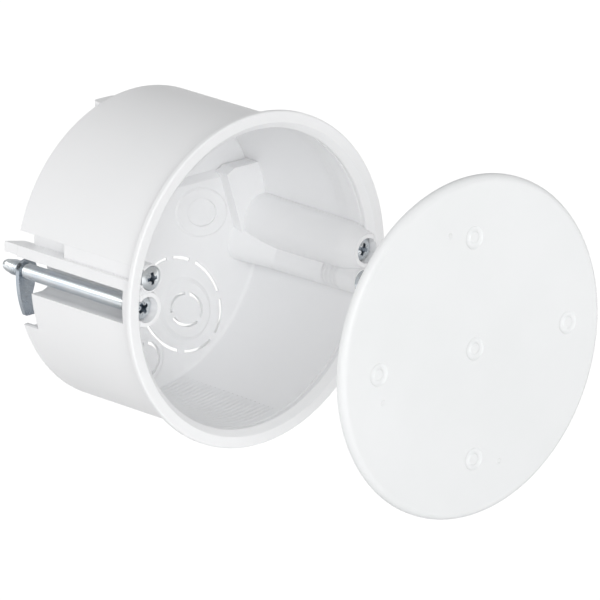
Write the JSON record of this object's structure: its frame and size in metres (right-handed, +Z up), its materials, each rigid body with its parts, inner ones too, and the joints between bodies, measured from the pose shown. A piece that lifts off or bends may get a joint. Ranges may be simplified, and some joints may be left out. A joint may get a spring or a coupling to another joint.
{
  "type": "cavity wall junction box",
  "caption": "Round moulded junction box for a hollow wall, with claw screws, fixing screws, knock-outs and a snap-in lid taken off.",
  "frame": {"origin": "on the box's axis in the plane of the wall face, at the rear of the flange", "axes": "+Y into the wall along the box's axis, +Z up, X along the line of the two claw screws"},
  "size_m": [0.0856, 0.1294, 0.0856],
  "materials": {
    "housing_plastic": "moulded white polypropylene, fine matt",
    "lid_plastic": "moulded white polypropylene, satin",
    "zinc_plated_steel": "bright zinc plating with a bluish tint"
  },
  "bodies": {
    "housing": {"housing": "housing_plastic"},
    "lid": {"lid": "lid_plastic"},
    "claw_screw_right": {"claw_screw_right": "zinc_plated_steel"},
    "fixing_screw_right": {"fixing_screw_right": "zinc_plated_steel"},
    "claw_right": {"claw_right": "zinc_plated_steel"},
    "claw_screw_left": {"claw_screw_left": "zinc_plated_steel"},
    "fixing_screw_left": {"fixing_screw_left": "zinc_plated_steel"},
    "claw_left": {"claw_left": "zinc_plated_steel"}
  },
  "joints": [
    {"name": "lid_press_on", "type": "slide", "parent": "housing", "child": "lid", "axis": [0, 1, 0], "range_m": [0, 0.074]},
    {"name": "claw_screw_right_turn", "type": "hinge", "parent": "housing", "child": "claw_screw_right", "pos_m": [0.0366, 0.002, 0], "axis": [0, 1, 0], "continuous": true},
    {"name": "fixing_screw_right_turn", "type": "hinge", "parent": "housing", "child": "fixing_screw_right", "pos_m": [0.0354, 0, -0.0078], "axis": [0, 1, 0], "continuous": true},
    {"name": "claw_right_swing", "type": "hinge", "parent": "housing", "child": "claw_right", "pos_m": [0.0366, 0.0432, 0], "axis": [0, 1, 0], "range_deg": [0, 100]},
    {"name": "claw_screw_left_turn", "type": "hinge", "parent": "housing", "child": "claw_screw_left", "pos_m": [-0.0366, 0.002, 0], "axis": [0, 1, 0], "continuous": true},
    {"name": "fixing_screw_left_turn", "type": "hinge", "parent": "housing", "child": "fixing_screw_left", "pos_m": [-0.0354, 0, 0.0078], "axis": [0, 1, 0], "continuous": true},
    {"name": "claw_left_swing", "type": "hinge", "parent": "housing", "child": "claw_left", "pos_m": [-0.0366, 0.0432, 0], "axis": [0, 1, 0], "range_deg": [0, 100]}
  ]
}
